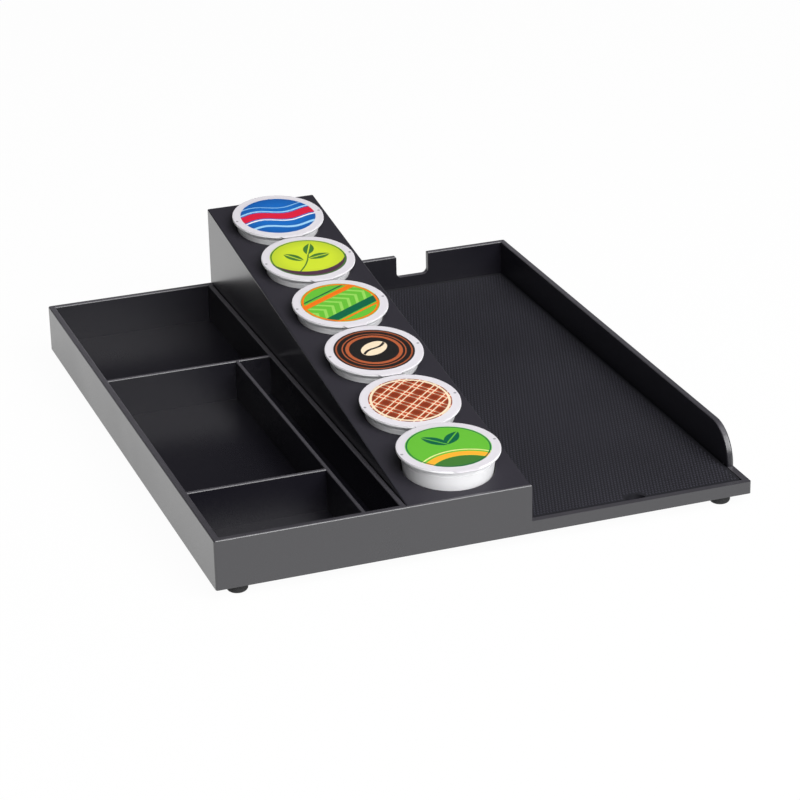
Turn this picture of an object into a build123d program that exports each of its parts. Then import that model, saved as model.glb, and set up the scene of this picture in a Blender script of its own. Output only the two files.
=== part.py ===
from build123d import *

import os
from math import atan2, cos, degrees, radians, sin

# Coffee station tray: a shallow moulded tray with open compartments on the left, a sloped rack
# that holds six coffee pods in the middle, and a matted bay for a slim brewer on the right.
# Millimetres. The origin is on the counter under the tray's middle. X runs right, Y back, Z up.
# Places on the tray are given from its left face, its front face and its lower edge.

# Tray moulding
tray_width = 276.0
tray_depth = 323.0
wall_height = 25.6
wall = 3.5
divider = 2.2
floor_top = 4.0
floor_thickness = 2.4
corner_radius = 1.2
skirt_radius = 1.0
edge_radius = 0.8

# Compartments on the left
inner_wall_left = 92.3
inner_wall = 2.9
long_divider_left = 73.3
rear_divider_front = 203.9
front_divider_front = 55.0

# Brewer bay on the right: low lip in front, round-nosed side wall, cord notch in the back wall
fascia_end = 158.7
lip_height = 6.4
side_wall_foot = 19.6
notch_left = 206.9
notch_width = 19.6
notch_bottom = 12.5
notch_radius = 3.0

# Pod rack
rack_left = 95.4
rack_right = 158.4
cheek = 2.5
deck_thickness = 2.5
fascia_skin = 1.4
deck_back_height = 69.6
hole_radius = 22.8
hole_edge = 0.6
pod_count = 6
pod_pitch = 52.95
rear_hole_from_front = 291.5
rack_clearance = 0.3
deck_edge_radius = 0.7
back_panel = 2.5
web_thickness = 1.6
web_depth = 14.0
boss_radius = 3.5
boss_sink = 0.3

# Floor opening below the front pods, whose feet reach lower than the floor
opening_margin = 10.6
opening_front = 6.5
opening_length = 158.0
opening_radius = 3.0

# Underside
rib_width = 2.0
bay_rib_place = 215.4
foot_from_side = 12.8
foot_from_end = 9.0
foot_boss_radius = 8.0
screw_boss_radius = 5.0

# Rubber feet
foot_height = 6.0
foot_radius = 5.2
foot_round = 2.0
stem_radius = 2.3
stem_length = 2.9
socket_radius = 2.4
socket_depth = 3.2

# Rack screws
screw_hole_radius = 1.6
screw_radius = 1.3
screw_pilot_radius = 1.35
screw_length = 9.0
screw_head_radius = 2.7
screw_head_height = 1.5
screw_sink_radius = 3.0
screw_sink_depth = 1.7

# Brewer mat
mat_thickness = 2.3
mat_clearance = 0.3
mat_corner_radius = 2.5
finger_notch_middle = 215.3
finger_notch_radius = 5.2

# Coffee pod: tapered cup that wedges in the rack's hole, with a neck under its rim, a filter, a
# fill and a foil lid with a pull tab in front
pod_height = 44.0
lid_thickness = 0.3
lid_radius = 25.4
tab_width = 11.5
tab_reach = 1.3
tab_radius = 1.0
rim_radius = 25.5
rim_thickness = 1.2
neck_radius = 22.4
neck_height = 2.7
wall_top_radius = 22.9
seat_depth = 6.6
cup_foot_radius = 18.5
cup_foot_round = 1.2
cup_floor = 1.0
cup_skin = 0.8
filter_skin = 0.5
filter_foot_radius = 13.0
filter_foot = 9.0
fill_height = 24.0
fill_gap = 0.1

# The front pod meets the counter before it wedges in the rack, so it stands proud
front_pod_tilt = 3.7
front_pod_lid_from_front = 28.3
front_pod_lid_height = 39.6

left = -tray_width / 2
front = -tray_depth / 2
base = foot_height
recess = floor_top - floor_thickness
rack_middle = (rack_left + rack_right) / 2
deck_slope = atan2(deck_back_height - wall_height, tray_depth - fascia_skin)
hole_step = pod_pitch * cos(deck_slope)
os.makedirs("parts", exist_ok=True)


def at(x, y):
    """A point in plan, from the tray's left and front faces, in the part's own frame."""
    return (left + x, front + y)


def deck_height(y):
    """Height of the deck's upper face over the tray's lower edge, y behind the front face."""
    return wall_height + (y - fascia_skin) * sin(deck_slope) / cos(deck_slope)


def deck_under(y):
    """Height of the deck's lower face over the tray's lower edge."""
    return deck_height(y) - deck_thickness / cos(deck_slope)


def finish(built, name):
    """Labels a finished piece and writes it."""
    built.part.label = name
    export_step(built.part, f"parts/{name}.step")


def hole_from_front(index):
    """Plan distance of a pod hole's middle behind the front face, hole 0 at the rear."""
    return rear_hole_from_front - index * hole_step


rack_inner_front = wall + rack_clearance
lip_bottom = deck_under(rack_inner_front)
web_places = [hole_from_front(index) - hole_step / 2 for index in range(pod_count - 1)]
boss_inset = cheek + boss_radius - boss_sink
screw_places = [
    at(x, y)
    for x in (rack_left + boss_inset, rack_right - boss_inset)
    for y in (web_places[0], web_places[-1])
]
foot_places = {
    "foot_front_left": at(foot_from_side, foot_from_end),
    "foot_front_right": at(tray_width - foot_from_side, foot_from_end),
    "foot_rear_left": at(foot_from_side, tray_depth - foot_from_end),
    "foot_rear_right": at(tray_width - foot_from_side, tray_depth - foot_from_end),
}

# Tray moulding: outer block, pockets cut down to the floor
pockets = [
    (wall, inner_wall_left, rear_divider_front + divider, tray_depth - wall),
    (wall, long_divider_left, front_divider_front + divider, rear_divider_front),
    (wall, long_divider_left, wall, front_divider_front),
    (long_divider_left + divider, inner_wall_left, wall, rear_divider_front),
    (inner_wall_left + inner_wall, tray_width - wall, wall, tray_depth - wall),
]
nose_radius = wall_height - lip_height
opening_width = rack_right - rack_left - 2 * opening_margin
opening_middle = at(rack_middle, opening_front + opening_length / 2)
ribs_along = [long_divider_left + divider / 2, inner_wall_left + inner_wall / 2, bay_rib_place]
ribs_across = [front_divider_front + divider / 2, rear_divider_front + divider / 2]

with BuildPart() as base_tray:
    with BuildSketch(Plane.XY.offset(base)):
        RectangleRounded(tray_width, tray_depth, corner_radius)
    extrude(amount=wall_height)
    with BuildSketch(Plane.XY.offset(base + floor_top)):
        for x0, x1, y0, y1 in pockets:
            with Locations(at((x0 + x1) / 2, (y0 + y1) / 2)):
                Rectangle(x1 - x0, y1 - y0)
    extrude(amount=wall_height, mode=Mode.SUBTRACT)
    # The bay's front is cut down to a lip, and the side wall ends in a quarter round
    with BuildSketch(Plane.YZ.offset(left + fascia_end)):
        with BuildLine():
            foot_point = (front + side_wall_foot, base + lip_height)
            nose_top = (front + side_wall_foot + nose_radius, base + wall_height)
            Line((front - wall, base + lip_height), foot_point)
            RadiusArc(foot_point, nose_top, nose_radius)
            Polyline(
                nose_top,
                (front + side_wall_foot + nose_radius, base + wall_height + wall),
                (front - wall, base + wall_height + wall),
                (front - wall, base + lip_height),
            )
        make_face()
    extrude(amount=tray_width, mode=Mode.SUBTRACT)
    # Cord notch in the bay's back wall
    with BuildSketch(Plane.XZ.offset(front - wall)):
        with Locations((left + notch_left + notch_width / 2, base + notch_bottom + wall_height / 2)):
            RectangleRounded(notch_width, wall_height, notch_radius)
    extrude(amount=3 * wall, mode=Mode.SUBTRACT)
    fillet(base_tray.faces().filter_by(Axis.Z).group_by(Axis.Z)[-1].edges(), edge_radius)
    # Seat in the top of the fascia for the rack's front lip
    with BuildSketch(Plane.XY.offset(base + lip_bottom)):
        seat_length = fascia_end - rack_left + rack_clearance
        with Locations(at(fascia_end - seat_length / 2, fascia_skin + wall / 2)):
            Rectangle(seat_length, wall)
    extrude(amount=wall_height, mode=Mode.SUBTRACT)
    # Underside: recess inside a skirt, ribs, bosses for feet and screws, rim of the opening
    with BuildSketch(Plane.XY.offset(base)):
        RectangleRounded(tray_width - 2 * wall, tray_depth - 2 * wall, skirt_radius)
    extrude(amount=recess, mode=Mode.SUBTRACT)
    with BuildSketch(Plane.XY.offset(base)):
        for x in ribs_along:
            with Locations((left + x, 0)):
                Rectangle(rib_width, tray_depth - wall)
        for y in ribs_across:
            with Locations((0, front + y)):
                Rectangle(tray_width - wall, rib_width)
        with Locations(*foot_places.values()):
            Circle(foot_boss_radius)
        with Locations(*screw_places):
            Circle(screw_boss_radius)
        with Locations(opening_middle):
            RectangleRounded(opening_width + 2 * rib_width, opening_length + 2 * rib_width, opening_radius)
    extrude(amount=recess)
    with BuildSketch(Plane.XY.offset(base)):
        with Locations(opening_middle):
            RectangleRounded(opening_width, opening_length, opening_radius)
    extrude(amount=floor_top, mode=Mode.SUBTRACT)
    with Locations(*[Plane((x, y, base), z_dir=(0, 0, -1)) for x, y in foot_places.values()]):
        Hole(socket_radius, socket_depth)
    with Locations(*[Plane((x, y, base), z_dir=(0, 0, -1)) for x, y in screw_places]):
        CounterBoreHole(screw_hole_radius, screw_sink_radius, screw_sink_depth, floor_top)
finish(base_tray, "base_tray")

# Pod rack: hollow wedge, open below, with a lip on the fascia and a back panel on the back wall
rack_back = tray_depth - wall - rack_clearance
panel_front = tray_depth - back_panel
rack_outline = [
    (fascia_skin, lip_bottom),
    (rack_inner_front, lip_bottom),
    (rack_inner_front, floor_top),
    (rack_back, floor_top),
    (rack_back, wall_height),
    (tray_depth, wall_height),
    (tray_depth, deck_height(tray_depth)),
    (fascia_skin, deck_height(fascia_skin)),
]
rack_hollow = [
    (fascia_skin, 0),
    (fascia_skin, lip_bottom),
    (rack_inner_front, lip_bottom),
    (panel_front, deck_under(panel_front)),
    (panel_front, 0),
]
deck_plane = Plane(
    (left + rack_middle, front + rear_hole_from_front, base + deck_height(rear_hole_from_front)),
    x_dir=(1, 0, 0),
    z_dir=(0, -sin(deck_slope), cos(deck_slope)),
)


def in_frame(outline):
    """A side outline, from the front face and the lower edge, in the frame's Y and Z."""
    return [(front + y, base + z) for y, z in outline]


def deck_face():
    """The deck's upper face, the outermost face of the rack along the deck's normal."""
    return pod_rack.faces().sort_by(Axis(deck_plane.origin, deck_plane.z_dir))[-1]


with BuildPart() as pod_rack:
    with BuildSketch(Plane.YZ.offset(left + rack_left)):
        with BuildLine():
            Polyline(*in_frame(rack_outline), close=True)
        make_face()
    extrude(amount=rack_right - rack_left)
    with BuildSketch(Plane.YZ.offset(left + rack_left + cheek)):
        with BuildLine():
            Polyline(*in_frame(rack_hollow), close=True)
        make_face()
    extrude(amount=rack_right - rack_left - 2 * cheek, mode=Mode.SUBTRACT)
    fillet(deck_face().edges().filter_by(Axis.X, reverse=True), deck_edge_radius)
    # Webs across the hollow between the pods, and screw bosses beside the first and last webs
    for y in web_places:
        with Locations((*at(rack_middle, y), base + deck_under(y) + deck_thickness / 2)):
            Box(
                rack_right - rack_left - cheek,
                web_thickness,
                web_depth,
                align=(Align.CENTER, Align.CENTER, Align.MAX),
            )
    for x, y in screw_places:
        boss_height = deck_under(y - front) + deck_thickness / 2 - floor_top
        with Locations((x, y, base + floor_top)):
            Cylinder(boss_radius, boss_height, align=(Align.CENTER, Align.CENTER, Align.MIN))
    with Locations(*[Plane((x, y, base + floor_top), z_dir=(0, 0, -1)) for x, y in screw_places]):
        Hole(screw_pilot_radius, screw_length)
    # Row of pod holes, square to the deck, with eased upper edges
    with BuildSketch(deck_plane):
        with Locations(*[(0, -index * pod_pitch) for index in range(pod_count)]):
            Circle(hole_radius)
    extrude(amount=deck_thickness, both=True, mode=Mode.SUBTRACT)
    chamfer(deck_face().inner_wires().edges(), hole_edge)
finish(pod_rack, "pod_rack")

# Brewer mat, with a finger notch in its front edge
mat_left = rack_right + mat_clearance
mat_right = tray_width - wall - mat_clearance
mat_front = wall + mat_clearance
mat_back = tray_depth - wall - mat_clearance
with BuildPart() as brewer_mat:
    with BuildSketch(Plane.XY.offset(base + floor_top)):
        with Locations(at((mat_left + mat_right) / 2, (mat_front + mat_back) / 2)):
            RectangleRounded(mat_right - mat_left, mat_back - mat_front, mat_corner_radius)
        with Locations(at(finger_notch_middle, mat_front)):
            Circle(finger_notch_radius, mode=Mode.SUBTRACT)
    extrude(amount=mat_thickness)
finish(brewer_mat, "brewer_mat")

# Four rubber feet, each a rounded bumper with a stem pushed into the tray's underside
for name, (x, y) in foot_places.items():
    with BuildPart() as foot:
        with Locations((x, y, 0)):
            Cylinder(foot_radius, foot_height, align=(Align.CENTER, Align.CENTER, Align.MIN))
        fillet(foot.edges().sort_by(Axis.Z)[0], foot_round)
        with Locations((x, y, foot_height)):
            Cylinder(stem_radius, stem_length, align=(Align.CENTER, Align.CENTER, Align.MIN))
    finish(foot, name)

# Rack screws, driven from below through the tray's floor into the rack's bosses
head_top = base + screw_sink_depth
with BuildPart() as rack_screws:
    for x, y in screw_places:
        with Locations((x, y, head_top)):
            Cylinder(screw_head_radius, screw_head_height, align=(Align.CENTER, Align.CENTER, Align.MAX))
            Cylinder(screw_radius, screw_length, align=(Align.CENTER, Align.CENTER, Align.MIN))
finish(rack_screws, "rack_screws")

# Coffee pods, numbered from the rear
cup_top = pod_height - lid_thickness
rim_under = cup_top - rim_thickness
neck_foot = rim_under - neck_height
wall_top = neck_foot - (wall_top_radius - neck_radius)
cup_mouth = neck_radius - cup_skin
cup_profile = [
    (0, 0),
    (cup_foot_radius - cup_foot_round, 0),
    (cup_foot_radius, cup_foot_round),
    (wall_top_radius, wall_top),
    (neck_radius, neck_foot),
    (neck_radius, rim_under),
    (rim_radius, rim_under),
    (rim_radius, cup_top),
    (cup_mouth, cup_top),
    (cup_mouth, neck_foot),
    (wall_top_radius - cup_skin, wall_top),
    (cup_foot_radius - cup_skin, cup_floor),
    (0, cup_floor),
]
# The filter hangs from the lid's seal, with the fill standing on its floor
filter_rim = cup_mouth - fill_gap
filter_spread = (filter_rim - filter_foot_radius) / (cup_top - filter_foot)
filter_floor = filter_foot + filter_skin
filter_profile = [
    (0, filter_foot),
    (filter_foot_radius, filter_foot),
    (filter_rim, cup_top),
    (filter_rim - filter_skin, cup_top),
    (filter_foot_radius - filter_skin, filter_floor),
    (0, filter_floor),
]
fill_foot_radius = filter_foot_radius - filter_skin - fill_gap
fill_profile = [
    (0, filter_floor),
    (fill_foot_radius, filter_floor),
    (fill_foot_radius + filter_spread * fill_height, filter_floor + fill_height),
    (0, filter_floor + fill_height),
]
pod_profiles = {"cup": cup_profile, "filter": filter_profile, "fill": fill_profile}


def pod_base(index):
    """The plane of a pod's foot, Z along the pod's own axis, pod 0 at the rear."""
    if index < pod_count - 1:
        hole = deck_plane.from_local_coords(Vector(0, -index * pod_pitch, 0))
        return Plane(hole + deck_plane.z_dir * (seat_depth - pod_height), (1, 0, 0), deck_plane.z_dir)
    tilt = radians(front_pod_tilt)
    axis = Vector(0, -sin(tilt), cos(tilt))
    lid_middle = Vector(*at(rack_middle, front_pod_lid_from_front), base + front_pod_lid_height)
    return Plane(lid_middle - axis * pod_height, (1, 0, 0), axis)


for index in range(pod_count):
    foot_plane = pod_base(index)
    half_section = Plane(foot_plane.origin, foot_plane.x_dir, -foot_plane.y_dir)
    for piece, profile in pod_profiles.items():
        with BuildPart() as pod_piece:
            with BuildSketch(half_section):
                with BuildLine():
                    Polyline(*profile, close=True)
                make_face()
            revolve(axis=Axis(foot_plane.origin, foot_plane.z_dir))
        finish(pod_piece, f"pod_{index + 1}_{piece}")
    with BuildPart() as lid:
        with BuildSketch(foot_plane.offset(cup_top)):
            Circle(lid_radius)
            with Locations((0, -lid_radius)):
                RectangleRounded(tab_width, 2 * tab_reach, tab_radius)
        extrude(amount=lid_thickness)
    finish(lid, f"pod_{index + 1}_lid")

print("deck slope in degrees", round(degrees(deck_slope), 2))
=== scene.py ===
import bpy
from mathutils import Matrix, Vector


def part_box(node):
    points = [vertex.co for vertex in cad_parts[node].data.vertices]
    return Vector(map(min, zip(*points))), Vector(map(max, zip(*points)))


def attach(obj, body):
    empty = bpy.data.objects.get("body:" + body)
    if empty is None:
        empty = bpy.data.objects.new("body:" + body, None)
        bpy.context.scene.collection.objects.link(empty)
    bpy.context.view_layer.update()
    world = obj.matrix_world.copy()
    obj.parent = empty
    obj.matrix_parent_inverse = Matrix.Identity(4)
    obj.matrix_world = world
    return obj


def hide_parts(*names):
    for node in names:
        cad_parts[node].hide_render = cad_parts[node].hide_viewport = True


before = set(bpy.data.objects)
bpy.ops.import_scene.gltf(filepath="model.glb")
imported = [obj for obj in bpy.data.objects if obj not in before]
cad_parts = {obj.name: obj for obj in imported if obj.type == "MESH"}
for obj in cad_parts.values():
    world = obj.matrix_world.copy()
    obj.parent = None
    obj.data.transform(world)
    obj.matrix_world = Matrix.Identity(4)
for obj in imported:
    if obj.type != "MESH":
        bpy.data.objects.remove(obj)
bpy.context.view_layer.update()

import math

import bpy
import numpy as np
from bpy.props import FloatProperty, FloatVectorProperty, IntProperty, PointerProperty
from mathutils import Matrix, Vector

bl_info = {
    "name": "Coffee tray",
    "version": (1, 0, 0),
    "blender": (4, 5, 0),
    "location": "3D View > Sidebar > Coffee tray",
    "description": "Dresses a coffee tray with its pod rack, brewer mat and six coffee pods",
    "category": "Object",
}

MM = 0.001
PODS = ["pod_1", "pod_2", "pod_3", "pod_4", "pod_5", "pod_6"]
FEET = ["foot_front_left", "foot_front_right", "foot_rear_left", "foot_rear_right"]


def frame_points(node):
    """The vertices of a CAD node, in metres, as one array."""
    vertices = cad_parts[node].data.vertices
    flat = np.empty(len(vertices) * 3, np.float32)
    vertices.foreach_get("co", flat)
    return flat.reshape(-1, 3).astype(float)


def length(name, description, default):
    """A length in metres that the sidebar shows in the scene's unit."""
    return FloatProperty(
        name=name, description=description, default=default, min=0, unit="LENGTH", precision=5
    )


def colour(name, description, default):
    """A linear colour."""
    return FloatVectorProperty(
        name=name, description=description, default=default, size=3, min=0, max=1, subtype="COLOR"
    )


def share(name, description, default, top=1.0):
    """A plain number from 0 to its top."""
    return FloatProperty(
        name=name, description=description, default=default, min=0, max=top, subtype="FACTOR"
    )


def power(name, description, default):
    """A lamp's power in watts."""
    return FloatProperty(name=name, description=description, default=default, min=0, unit="POWER")


def angle(name, description, degrees):
    """An angle, given in degrees and kept in radians."""
    return FloatProperty(name=name, description=description, default=math.radians(degrees), unit="ROTATION")


class TrayFinish(bpy.types.PropertyGroup):
    """Colours and surface of the moulded tray, its rack, its feet and its screws."""

    plastic: colour("Plastic", "Satin black of the tray and the rack", (0.0066, 0.0060, 0.0100))
    plastic_roughness: share("Plastic roughness", "Mean roughness of the moulded plastic", 0.30)
    # Painted light: a paler black laid over the rack's upward faces, which are the same plastic as its dark
    # upright sides, so the deck reads lit.
    deck: colour("Rack deck", "Duller black of the rack's deck", (0.0270, 0.0252, 0.0325))
    rack_roughness: share("Rack roughness", "Mean roughness of the pod rack", 0.48)
    cloud: length("Cloud size", "Width of the soft shifts in the plastic's tone", 60 * MM)
    grain: length("Grain size", "Width of the fine moulding grain", 0.45 * MM)
    spread: share("Roughness spread", "How far clouds and grain shift the roughness", 0.12)
    dust: colour("Dust", "Grey of the dust specks", (0.3, 0.3, 0.3))
    dust_gap: length("Dust spacing", "Mean distance between dust specks", 9 * MM)
    skin: length("Polished skin", "Depth of the polish on the tray's outer faces", 1.2 * MM)
    polish: share("Polish", "Weight of the polish on the tray's outer faces", 0.4)
    # Painted highlight: a paler grey laid on the tray's rims and wall tops to stand in for the light they
    # catch.
    rubbed: colour("Rim highlight", "Grey of the rims where things slide over them", (0.090, 0.086, 0.098))
    rims: length("Rim height", "Height above which upward faces are rims", 11.2 * MM)
    foot: colour("Foot rubber", "Colour of the rubber feet", (0.016, 0.016, 0.017))
    screw: colour("Screw steel", "Colour of the zinc-plated screws", (0.55, 0.56, 0.58))
    recess: length("Drive recess", "Depth of the cross recess in a screw head", 0.8 * MM)


class MatFinish(bpy.types.PropertyGroup):
    """Studs and colour of the brewer mat."""

    rubber: colour("Mat rubber", "Charcoal of the textured mat", (0.0060, 0.0058, 0.0095))
    # Painted highlight: the studs get a paler black than the mat they are moulded with, to stand in for the
    # light on their raised tops.
    crown: colour("Stud crowns", "Paler rubber of the studs", (0.0300, 0.0290, 0.0400))
    pitch: length("Stud pitch", "Distance between the studs of a row", 1.7 * MM)
    row: length("Row pitch", "Distance between stud rows", 2.37 * MM)
    stud: length("Stud width", "Width of a stud across its corners", 1.3 * MM)
    stretch: share("Stud stretch", "Length of a stud in widths", 1.6, 3.0)
    height: length("Stud height", "How far the studs stand out of the mat", 0.35 * MM)
    margin: length("Plain margin", "Smooth strip along the mat's edge", 1.7 * MM)


class PodFinish(bpy.types.PropertyGroup):
    """Shape and colours of the coffee pods."""

    cup: colour("Cup plastic", "White of the moulded cups", (0.79, 0.788, 0.802))
    border: colour("Lid border", "Unprinted white of the foil lids", (0.67, 0.646, 0.685))
    paper: colour("Filter paper", "Unbleached paper of the filter", (0.58, 0.49, 0.36))
    grounds: colour("Coffee grounds", "Dark roast", (0.045, 0.02, 0.009))
    disc: share("Printed disc", "Printed share of the lid's diameter", 0.825)
    crown: length("Lid crown", "How far the foil bows up in the middle", 0.15 * MM)
    around: IntProperty(name="Segments", description="Points round a cup", default=144, min=24)


class LidInks(bpy.types.PropertyGroup):
    """Inks of the six printed lids."""

    blue: colour("Blue", "Ground of lid 1", (0.006, 0.135, 0.50))
    navy: colour("Navy", "Shaded edge of lid 1", (0.0, 0.03, 0.16))
    sky: colour("Sky", "Pale lines of lid 1", (0.33, 0.62, 0.86))
    chalk: colour("Chalk", "White line of lid 1", (0.85, 0.86, 0.9))
    red: colour("Red", "Wave of lid 1", (0.66, 0.012, 0.045))
    lime: colour("Lime", "Ground and leaf ribs of lid 2", (0.58, 0.70, 0.03))
    moss: colour("Moss", "Leaves and edge of lid 2 and lower field of lid 6", (0.05, 0.18, 0.03))
    plum: colour("Plum", "Crescent of lid 2", (0.075, 0.03, 0.055))
    green: colour("Green", "Ground of lids 3 and 6", (0.125, 0.47, 0.035))
    grass: colour("Grass", "Chevrons of lid 3", (0.28, 0.62, 0.10))
    pine: colour("Pine", "Dark bars of lid 3, leaves and ring of lid 6", (0.0, 0.115, 0.05))
    orange: colour("Orange", "Ring and bars of lid 3", (0.82, 0.17, 0.006))
    black: colour("Black", "Ground of lid 4", (0.011, 0.0095, 0.0095))
    copper: colour("Copper", "Rings of lid 4", (0.42, 0.10, 0.035))
    cream: colour("Cream", "Bean of lid 4, lines and ring of lid 5", (0.84, 0.70, 0.50))
    rust: colour("Rust", "Ground of lid 5", (0.47, 0.055, 0.008))
    brown: colour("Brown", "Dark checks of lid 5", (0.13, 0.022, 0.008))
    amber: colour("Amber", "Arc of lid 6", (0.90, 0.42, 0.03))
    straw: colour("Straw", "Thin line of lid 6", (0.75, 0.80, 0.30))


class StageSetup(bpy.types.PropertyGroup):
    """Floor, lights and camera."""

    floor: length("Floor", "Side of the square floor", 6.0)
    white: share("Floor glow", "Share of the floor that the camera sees as plain white", 0.965)
    mirrored: share("Mirrored floor", "Share of the floor that gloss shows as plain white", 0.70)
    top_light: power("Top light", "Power of the softbox above", 6.0)
    key_light: power("Key light", "Power of the softbox in front", 128.0)
    backdrop: share("Backdrop", "Sine of the elevation where the white backdrop ends", 0.12)
    room: share("Room", "Brightness of the room above the backdrop", 0.03)
    ceiling: share("Ceiling", "Brightness of the ceiling", 0.10)
    lens: FloatProperty(
        name="Lens", description="Focal length on a 36 mm sensor", default=124.473, unit="CAMERA"
    )
    target: FloatVectorProperty(
        name="Target", description="Point in the middle of the picture",
        default=(18.078 * MM, 15.468 * MM, 6 * MM), size=3, subtype="TRANSLATION",
    )
    distance: length("Distance", "From the target to the camera", 1483.77 * MM)
    azimuth: angle("Azimuth", "Camera's turn about the upright, 0 in front", -19.7457)
    elevation: angle("Elevation", "Camera's height above the horizon", 23.2992)
    roll: angle("Roll", "Camera's tilt in its picture", -1.2556)


class CoffeeTray(bpy.types.PropertyGroup):
    """Everything that the sidebar offers."""

    tray: PointerProperty(type=TrayFinish)
    mat: PointerProperty(type=MatFinish)
    pods: PointerProperty(type=PodFinish)
    inks: PointerProperty(type=LidInks)
    stage: PointerProperty(type=StageSetup)


class Field:
    """A number that varies over a surface: arithmetic on it adds Math nodes to its tree."""

    def __init__(self, tree, socket):
        self.tree, self.socket = tree, socket

    def math(self, operation, *operands, clamp=False):
        maths = self.tree.nodes.new("ShaderNodeMath")
        maths.operation, maths.use_clamp = operation, clamp
        for socket, operand in zip(maths.inputs, operands):
            feed(self.tree, socket, operand)
        return Field(self.tree, maths.outputs[0])

    def __add__(self, other):
        return self.math("ADD", self, other)

    __radd__ = __add__

    def __sub__(self, other):
        return self.math("SUBTRACT", self, other)

    def __rsub__(self, other):
        return self.math("SUBTRACT", other, self)

    def __mul__(self, other):
        return self.math("MULTIPLY", self, other)

    def __truediv__(self, other):
        return self.math("DIVIDE", self, other)

    def __rtruediv__(self, other):
        return self.math("DIVIDE", other, self)

    def __abs__(self):
        return self.math("ABSOLUTE", self)

    def sine(self):
        return self.math("SINE", self)

    def root(self):
        return self.math("SQRT", self)

    def folded(self, period):
        """Distance to the nearest multiple of twice the period, which goes up and down like a saw."""
        return self.math("PINGPONG", self, period)

    def lower(self, other):
        return self.math("MINIMUM", self, other)

    def higher(self, other):
        return self.math("MAXIMUM", self, other)

    def below(self, edge, blur=0.012):
        """1 where the field is under the edge and 0 over it, with a soft step of that width."""
        return self.math("MULTIPLY_ADD", edge - self, 1 / blur, 0.5, clamp=True)


def feed(tree, socket, value):
    """Links a field or a socket to a node's input, or sets the input to a plain value."""
    if isinstance(value, Field):
        value = value.socket
    if isinstance(value, bpy.types.NodeSocket):
        tree.links.new(value, socket)
    elif socket.type == "RGBA" and len(value) == 3:
        socket.default_value = (*value, 1)
    else:
        socket.default_value = value


def add_node(tree, kind, inputs=None, **settings):
    """A new node with its settings and inputs given by name."""
    made = tree.nodes.new(kind)
    for name, value in settings.items():
        setattr(made, name, value)
    for name, value in (inputs or {}).items():
        feed(tree, made.inputs[name], value)
    return made


def parted(tree, vector):
    """The three parts of a vector as fields."""
    parts = add_node(tree, "ShaderNodeSeparateXYZ", {"Vector": vector}).outputs
    return [Field(tree, part) for part in parts]


def object_place(tree):
    """The place on an object, in its own coordinates, as three fields."""
    return parted(tree, add_node(tree, "ShaderNodeTexCoord").outputs["Object"])


def mixed(tree, mask, under, over):
    """The colour over where the mask is 1, and under where it is 0."""
    mix = tree.nodes.new("ShaderNodeMix")
    mix.data_type = "RGBA"
    factor, first, second = mix.inputs[0], mix.inputs[6], mix.inputs[7]
    feed(tree, factor, mask)
    feed(tree, first, under)
    feed(tree, second, over)
    return mix.outputs[2]


def mixed_shader(tree, mask, under, over):
    """The shader over where the mask is 1, and under where it is 0."""
    mix = tree.nodes.new("ShaderNodeMixShader")
    for socket, value in zip(mix.inputs, (mask, under, over)):
        feed(tree, socket, value)
    return mix.outputs[0]


def new_group(name, inputs, outputs):
    """An empty shader node group with named sockets: the tree, its input node and its output node."""
    kinds = {"colour": "NodeSocketColor", "value": "NodeSocketFloat"}
    tree = bpy.data.node_groups.new(name, "ShaderNodeTree")
    for label, kind in inputs.items():
        tree.interface.new_socket(name=label, in_out="INPUT", socket_type=kinds[kind])
    for label, kind in outputs.items():
        tree.interface.new_socket(name=label, in_out="OUTPUT", socket_type=kinds[kind])
    return tree, tree.nodes.new("NodeGroupInput"), tree.nodes.new("NodeGroupOutput")


def place_group(tree, build, inputs):
    """A group's node in a material, with its own values. The group is built once, and is named for the
    function that builds it."""
    name = build.__name__
    made = tree.nodes.new("ShaderNodeGroup")
    made.node_tree = bpy.data.node_groups.get(name) or build(name)
    for label, value in inputs.items():
        feed(tree, made.inputs[label], value)
    return made


def noise(tree, size, detail=2.0, roughness=0.5):
    """Noise on Object coordinates, whose blotches are about that many metres wide."""
    where = add_node(tree, "ShaderNodeTexCoord").outputs["Object"]
    made = add_node(tree, "ShaderNodeTexNoise", {
        "Vector": where, "Scale": 1 / size, "Detail": detail, "Roughness": roughness,
    })
    return Field(tree, made.outputs["Fac"])


def moulded_surface(name):
    """Moulded surface: the colour drifts in soft clouds, and a fine grain gives roughness and height."""
    tree, given, result = new_group(
        name,
        {"Colour": "colour", "Cloud Size": "value", "Grain Size": "value", "Drift": "value",
         "Roughness": "value", "Roughness Spread": "value"},
        {"Colour": "colour", "Roughness": "value", "Height": "value"},
    )
    inputs = {socket.name: Field(tree, socket) for socket in given.outputs if socket.name}
    cloud = noise(tree, inputs["Cloud Size"])
    grain = noise(tree, inputs["Grain Size"], detail=3)
    grain_share = 0.25
    lift = (cloud - 0.5) * inputs["Drift"] + (grain - 0.5) * grain_share * inputs["Drift"] + 1
    tint = add_node(tree, "ShaderNodeVectorMath", operation="SCALE")
    feed(tree, tint.inputs[0], given.outputs["Colour"])
    feed(tree, tint.inputs["Scale"], lift)
    rough = inputs["Roughness"] + (cloud + grain - 1) * inputs["Roughness Spread"]
    feed(tree, result.inputs["Colour"], tint.outputs[0])
    feed(tree, result.inputs["Roughness"], rough)
    feed(tree, result.inputs["Height"], grain)
    return tree


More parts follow.
